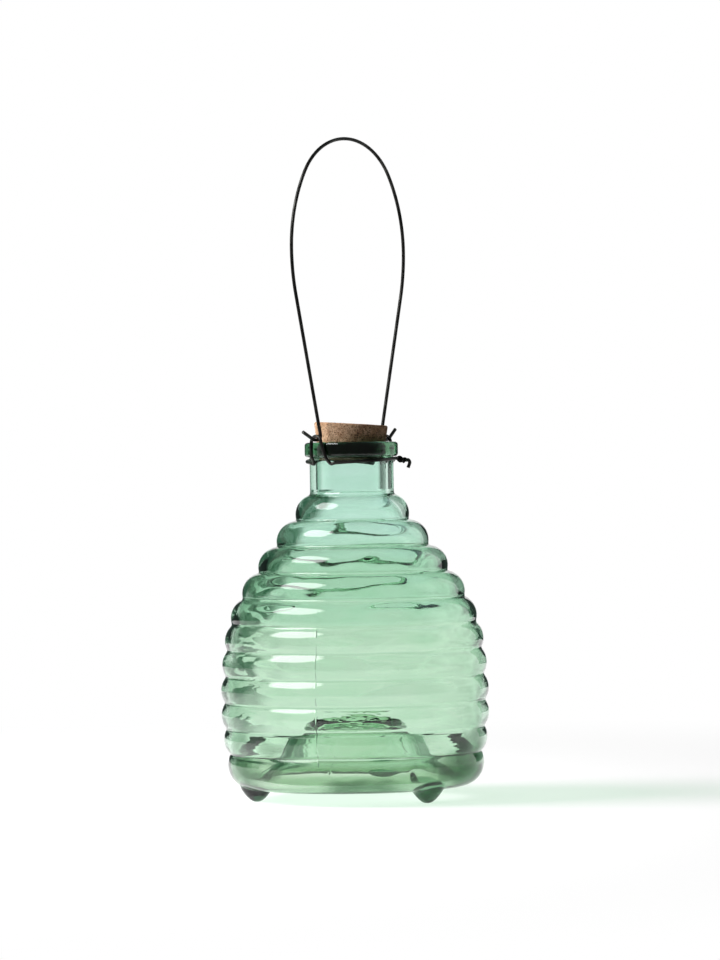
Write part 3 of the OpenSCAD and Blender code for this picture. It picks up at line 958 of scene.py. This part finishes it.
class TwistForm:
    """The neck wire's two ends, twisted together and falling outwards, and the hook of the longer one."""

    FALL = 1.6 * MM
    STEPS = 8
    HOOK_R = 1.6 * MM
    HOOK_TURN = radians(110)
    HOOK_LEAN = 1.2 * MM
    HOOK_END = 2.4 * MM
    HOOK_STEPS = 4

    def __init__(self, s, w):
        self.s = s
        self.z = w.collar_z
        self.strand_r = 0.52 * s.diameter
        self.start = w.collar_r + 0.5 * s.diameter

    def strand(self, phase, count):
        """Points of one strand, from the collar outwards."""
        s = self.s
        found = []
        for k in range(count + 1):
            share = k / self.STEPS
            a = phase + 2 * pi * s.twist_turns * share
            z = self.z + self.strand_r * sin(a) - self.FALL * share
            out = self.start + s.twist_length * share
            found.append(about(s.twist_turn, out, self.strand_r * cos(a), z))
        return found

    def hook(self):
        """Points of the hook at the end of the longer strand."""
        s = self.s
        end = self.start + s.twist_length
        top = self.z - self.FALL + self.strand_r

        def point(a, run):
            out = end + self.HOOK_R * sin(a) + run * cos(a)
            z = top - self.HOOK_R * (1 - cos(a)) - run * sin(a)
            return about(s.twist_turn, out, -self.HOOK_LEAN * a / self.HOOK_TURN, z)

        bend = spread(0, self.HOOK_TURN, self.HOOK_STEPS)[1:]
        return [point(a, 0) for a in bend] + [point(self.HOOK_TURN, self.HOOK_END)]


def neck_wire_path(s, w):
    """One length of wire: twisted end, collar, ear, collar, ear, collar, twisted end with its hook."""
    short_steps = 6
    curve_steps = 6
    ear_reach = (s.ear_half + 5 * MM) / w.collar_r
    lean_reach = ear_reach + s.ear_lean / w.collar_r
    twist_reach = 4.2 * MM / w.collar_r
    ear_sag = 0.75 * s.ear_dip
    half = pi
    twist = TwistForm(s, w)
    points = twist.strand(0, short_steps)[::-1]
    points += w.collar(s.twist_turn + twist_reach, -ear_reach, 0, ear_sag)
    points += ear_points(s, w, 0, 0)
    points += w.collar(ear_reach, QUARTER - w.COLLAR_STEP / 2, ear_sag, 0)
    points += w.collar(QUARTER + w.COLLAR_STEP / 2, half - ear_reach, 0, ear_sag)
    points += ear_points(s, w, half, s.ear_lean)
    points += w.collar(half + lean_reach, 2 * half + s.twist_turn - twist_reach, ear_sag, 0)
    points += twist.strand(pi, twist.STEPS)
    points += twist.hook()
    return smooth_curve(points, curve_steps)


def bail_path(s, w):
    """The bail from one tail through the ears and over the arch to the other tail."""
    half = s.bail_width / 2
    bend_r = 1.25 * s.diameter
    pivot_half = 1 * MM
    fine = 0.35 * MM
    coarse = 2.5 * MM
    bend_c = Vector((w.ear_r - pivot_half, bend_r))
    hook_c = Vector((w.ear_r + pivot_half, bend_r))
    arch_in = half - s.bail_top
    arch_up = s.bail_arch - s.bail_top
    arch_d = (arch_in**2 + arch_up**2) / (2 * arch_in)
    arch_side = arch_d + s.bail_top
    arch_angle = asin(arch_up / arch_d)
    side_c = Vector((half - s.bail_side, s.bail_leg))
    run = bend_c - side_c
    tilt = -atan2(run.y, run.x) - acos((s.bail_side + bend_r) / run.length)
    leaning = polar(1, -tilt)
    side_low = side_c + s.bail_side * leaning
    bend_high = bend_c - bend_r * leaning

    def half_path(tail, rise):
        """One half, from the tip of its tail up to the middle of the arch."""
        tail_from = hook_c + polar(bend_r, rise - QUARTER)
        tail_to = tail_from + polar(tail, rise)
        found = line(tail_to, tail_from, coarse)
        found += arc(hook_c, bend_r, 3 * QUARTER + rise, 3 * QUARTER, fine)[1:]
        found += arc(bend_c, bend_r, 3 * QUARTER, 2 * QUARTER - tilt, fine)
        found += line(bend_high, side_low, coarse)[1:]
        found += arc(side_c, s.bail_side, -tilt, 0, coarse)[1:]
        found += arc(Vector((half - arch_side, s.bail_leg)), arch_side, 0, arch_angle, coarse)[1:]
        return found + arc(Vector((0, s.bail_leg + arch_up)), s.bail_top, arch_angle, QUARTER, coarse)[1:]

    right = half_path(s.right_tail, s.right_rise)
    left = [Vector((-p.x, p.y)) for p in half_path(s.left_tail, s.left_rise)[-2::-1]]
    return [Vector((p.x, 0, w.pivot_z + p.y)) for p in right + left]


def make_wire(context, path, sides, name, body, node):
    """Bends a wire along its path, in place of one node of a body."""
    s = context.scene.flytrap_wire
    w = WireForm(s, BottleForm(context.scene.flytrap_glass))
    bm = sweep_wire(path(s, w), w.r, sides)
    finish_piece(bm, name, shared_wire(s), body, (node,))
    return {"FINISHED"}


class FLYTRAP_OT_neck_wire(Operator):
    """Bend the neck wire with its two ears and twisted ends"""

    bl_idname = "flytrap.neck_wire"
    bl_label = "Bend the neck wire"

    def execute(self, context):
        return make_wire(context, neck_wire_path, 14, "neck_wire_bent", "bottle", "neck_wire")


class FLYTRAP_OT_bail(Operator):
    """Bend the bail that the trap hangs by"""

    bl_idname = "flytrap.bail"
    bl_label = "Bend the bail"

    def execute(self, context):
        return make_wire(context, bail_path, 16, "bail_bent", "bail", "bail")


def view_axes(s):
    """Directions to the right of the camera, up and back towards it."""
    back = Vector((sin(s.turn), -cos(s.turn), 0))
    right = Vector((cos(s.turn), sin(s.turn), 0))
    return right, Vector((0, 0, 1)), back


def make_camera(s):
    """Level camera at the photograph's distance, leaning a little."""
    right, up, back = view_axes(s)
    data = bpy.data.cameras.new("camera")
    data.lens = s.lens
    data.sensor_width = 36
    camera = put("camera", data)
    across = cos(s.roll) * right + sin(s.roll) * up
    above = cos(s.roll) * up - sin(s.roll) * right
    turn = Matrix((across, above, back)).transposed().to_4x4()
    place = s.eye_height * up + s.distance * back + s.aside * right
    camera.matrix_world = Matrix.Translation(place) @ turn
    bpy.context.scene.camera = camera


def seen_rays(n):
    """A socket that is 1 for rays that show the background: straight, mirrored or through glass."""
    mirrored = n.math("MAXIMUM", n.ray("Camera"), n.ray("Glossy"))
    return n.math("MAXIMUM", mirrored, n.ray("Transmission"))


def make_sky(s):
    """White background under a darker ceiling, with an even soft light on what is lit."""
    # Fades over how far a direction points to the right, up or to the front.
    window_side = (0.1, 0.6)
    edge_side = (-0.25, 0.35)
    ceiling_edge = (0.05, 0.28)
    front_edge = (-0.1, 0.4)
    # The ceiling's edge lies this much higher at the right.
    right_higher = 0.45
    world = bpy.data.worlds.new("studio")
    world.use_nodes = True
    bpy.context.scene.world = world
    n = Nodes(world.node_tree)
    right, _, back = view_axes(s)
    direction = n.add("ShaderNodeTexCoord").outputs["Generated"]
    side = n.vector("DOT_PRODUCT", direction, right)
    front = n.vector("DOT_PRODUCT", direction, back)
    ceiling = n.mix(n.fade(side, *window_side), s.ceiling, s.window)
    edge = n.times(n.fade(side, *edge_side), right_higher)
    above_edge = n.math("SUBTRACT", n.part(direction, "Z"), edge)
    shown = n.mix(n.fade(above_edge, *ceiling_edge), WHITE, ceiling)
    shown = n.mix(n.times(n.fade(front, *front_edge), n.ray("Glossy")), shown, s.front_side)
    shown = n.mix(n.ray("Camera"), shown, WHITE)
    light = n.shader("ShaderNodeBackground", {"Color": WHITE, "Strength": s.sky})
    white = n.shader("ShaderNodeBackground", {"Color": shown, "Strength": 1.0})
    n.add("ShaderNodeOutputWorld", {"Surface": n.blend(seen_rays(n), light, white)})


def make_floor(s):
    """Pale floor, shaded near the trap and white further out, that mirrors dim from the camera's side."""
    shadow_reach = (0.15, 0.7)
    dim_reach = (0.0, 0.5)
    near_glow = 0.5
    bm = bmesh.new()
    bmesh.ops.create_circle(bm, cap_ends=True, segments=96, radius=6.0)
    material, n = new_material("pale_floor")
    place = n.place()
    paint = n.shader("ShaderNodeBsdfDiffuse", {"Color": s.floor})
    near = n.shader("ShaderNodeAddShader", {0: paint, 1: n.glow(WHITE, near_glow)})
    front = n.vector("DOT_PRODUCT", place, view_axes(s)[2])
    mirrored = n.times(n.fade(front, *dim_reach), n.ray("Glossy"))
    white = n.glow(n.mix(mirrored, WHITE, s.front_side))
    shown = n.blend(n.fade(n.vector("LENGTH", place), *shadow_reach), near, white)
    n.finish(n.blend(seen_rays(n), paint, shown))
    new_object(bm, "floor", material)


def show_only(obj, glossy, transmission):
    """Hides a stage object from the camera and from the light, but not from glass and metal."""
    obj.visible_camera = False
    obj.visible_diffuse = False
    obj.visible_shadow = False
    obj.visible_glossy = glossy
    obj.visible_transmission = transmission


def make_flags(s):
    """Dark cards with soft edges round the stage, between the main views, which draw the glass's edges."""
    blur = radians(3)
    half_step = pi / 4
    half_width = radians(11)
    neck_half_width = radians(15)
    left_card = 18.5
    right_card = -26.5
    right_share = 0.55
    neck_card = -28.5
    neck_low = (0.13, 0.14)
    neck_high = (0.205, 0.195)
    radius = 1.1
    height = 1.2
    bm = bmesh.new()
    middle = Matrix.Translation((0, 0, height / 2))
    bmesh.ops.create_cone(bm, segments=96, radius1=radius, radius2=radius, depth=height, matrix=middle)
    material, n = new_material("dark_cards")
    place = n.place()
    turn = n.math("ARCTAN2", n.part(place, "Y"), n.part(place, "X"))
    up = n.part(place, "Z")

    def card(degrees, half):
        """Share of the cards at an angle in degrees from the line of sight, and at each quarter turn."""
        start = s.turn + QUARTER + radians(degrees)
        off = n.math("PINGPONG", n.math("SUBTRACT", turn, start), half_step)
        return n.fade(off, half + blur, half - blur)

    body = n.math("ADD", card(left_card, half_width), n.times(card(right_card, half_width), right_share))
    at_neck = n.times(n.fade(up, *neck_low), n.fade(up, *neck_high))
    below = n.times(n.math("SUBTRACT", 1.0, at_neck), body)
    share = n.math("ADD", n.times(at_neck, card(neck_card, neck_half_width)), below)
    dark = n.glow(n.mix(at_neck, s.flags, s.neck_flags))
    n.finish(n.blend(share, n.shader("ShaderNodeBsdfTransparent"), dark))
    show_only(new_object(bm, "dark_flags", material), glossy=False, transmission=True)


def make_side_flags(s):
    """Dark cards behind the trap at both sides, which only mirror in its edges."""
    radius = 1.3
    height = 1.5
    # Degrees from the line of sight, at the left and at the right.
    spans = ((12, 85), (-45, -14))
    bm = bmesh.new()
    for start, end in spans:
        place = polar(radius, s.turn + QUARTER + radians(start)).to_3d()
        low = bm.verts.new(place)
        high = bm.verts.new(place + Vector((0, 0, height)))
        edge = bm.edges.new((low, high))
        sweep = radians(end - start)
        bmesh.ops.spin(bm, geom=[low, high, edge], cent=(0, 0, 0), axis=(0, 0, 1), angle=sweep, steps=12)
    material, n = new_material("side_card")
    n.finish(n.glow(s.side_flags))
    show_only(new_object(bm, "side_flags", material), glossy=True, transmission=False)


def aim(place, target):
    """Turn that points a lamp or a card from a place to a target."""
    return (target - place).to_track_quat("-Z", "Y")


def make_softbox(s, place, target, width, height):
    """Bright face of the softbox, with soft edges, as the glass and the wire mirror it."""
    squareness = 3.0
    soft_edge = (1.0, 0.3)
    bm = bmesh.new()
    bmesh.ops.create_grid(bm, x_segments=1, y_segments=1, size=0.5)
    material, n = new_material("softbox_face")
    on_face = n.place()

    def outwards(axis):
        return n.math("POWER", n.math("ABSOLUTE", n.times(n.part(on_face, axis), 2.0)), squareness)

    share = n.fade(n.math("ADD", outwards("X"), outwards("Y")), *soft_edge)
    n.finish(n.glow(WHITE, n.times(share, s.softbox)))
    box = new_object(bm, "softbox", material)
    turn = aim(place, target).to_matrix().to_4x4()
    box.matrix_world = Matrix.Translation(place) @ turn @ Matrix.Diagonal((width, height, 1, 1))
    show_only(box, glossy=True, transmission=False)


def make_lamp(name, place, target, size, power):
    """Soft square lamp at a place, turned to a target."""
    data = bpy.data.lights.new(name, "AREA")
    data.shape = "RECTANGLE"
    data.size = size
    data.size_y = size
    data.energy = power
    lamp = put(name, data)
    lamp.location = place
    lamp.rotation_euler = aim(place, target).to_euler()
    lamp.visible_glossy = False
    lamp.visible_transmission = False


class FLYTRAP_OT_stage(Operator):
    """Set up the floor, the soft light and the camera"""

    bl_idname = "flytrap.stage"
    bl_label = "Set the stage"

    def execute(self, context):
        s = context.scene.flytrap_stage
        right, up, back = view_axes(s)
        target = Vector((0, 0, 0.1))
        context.scene.view_settings.view_transform = "Standard"
        # Light passes many faces where the rings' thick edges lie behind one another.
        context.scene.cycles.max_bounces = 32
        context.scene.cycles.transmission_bounces = 32

        def left_front(aside, above, distance):
            """Place at an angle left of the camera's side and an angle above level."""
            away = cos(aside) * back - sin(aside) * right
            return target + distance * (cos(above) * away + sin(above) * up)

        make_camera(s)
        make_sky(s)
        make_floor(s)
        make_flags(s)
        make_side_flags(s)
        key_place = left_front(radians(85), radians(36), distance=1.2)
        box_place = left_front(radians(65), radians(42), distance=1.0)
        make_lamp("key", key_place, target, size=0.7, power=s.key_power)
        make_softbox(s, box_place, target, width=0.84, height=0.66)
        return {"FINISHED"}


class FLYTRAP_PT_panel(Panel):
    """Lists the steps and the settings"""

    bl_idname = "FLYTRAP_PT_panel"
    bl_label = "Fly trap"
    bl_space_type = "VIEW_3D"
    bl_region_type = "UI"
    bl_category = "Fly trap"

    def draw(self, context):
        for title, name, _, operators in GROUPS:
            box = self.layout.box()
            box.label(text=title)
            group = getattr(context.scene, name)
            for setting in group.__annotations__:
                box.prop(group, setting)
            for operator in operators:
                box.operator(operator.bl_idname)


# Title, name in the scene, settings and operators of each group of pieces.
GROUPS = (
    ("Glass", "flytrap_glass", GlassSettings, (FLYTRAP_OT_glass,)),
    ("Cork", "flytrap_cork", CorkSettings, (FLYTRAP_OT_cork,)),
    ("Wire", "flytrap_wire", WireSettings, (FLYTRAP_OT_neck_wire, FLYTRAP_OT_bail)),
    ("Stage", "flytrap_stage", StageSettings, (FLYTRAP_OT_stage,)),
)


def register():
    for _, name, settings, operators in GROUPS:
        for made in (settings, *operators):
            bpy.utils.register_class(made)
        setattr(bpy.types.Scene, name, PointerProperty(type=settings))
    bpy.utils.register_class(FLYTRAP_PT_panel)


def unregister():
    bpy.utils.unregister_class(FLYTRAP_PT_panel)
    for _, name, settings, operators in GROUPS:
        delattr(bpy.types.Scene, name)
        for made in (*operators, settings):
            bpy.utils.unregister_class(made)


def main():
    """Builds every piece and the stage."""
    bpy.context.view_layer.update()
    register()
    bpy.ops.flytrap.glass()
    bpy.ops.flytrap.cork()
    bpy.ops.flytrap.neck_wire()
    bpy.ops.flytrap.bail()
    bpy.ops.flytrap.stage()
    bpy.context.view_layer.update()


if __name__ == "__main__":
    main()
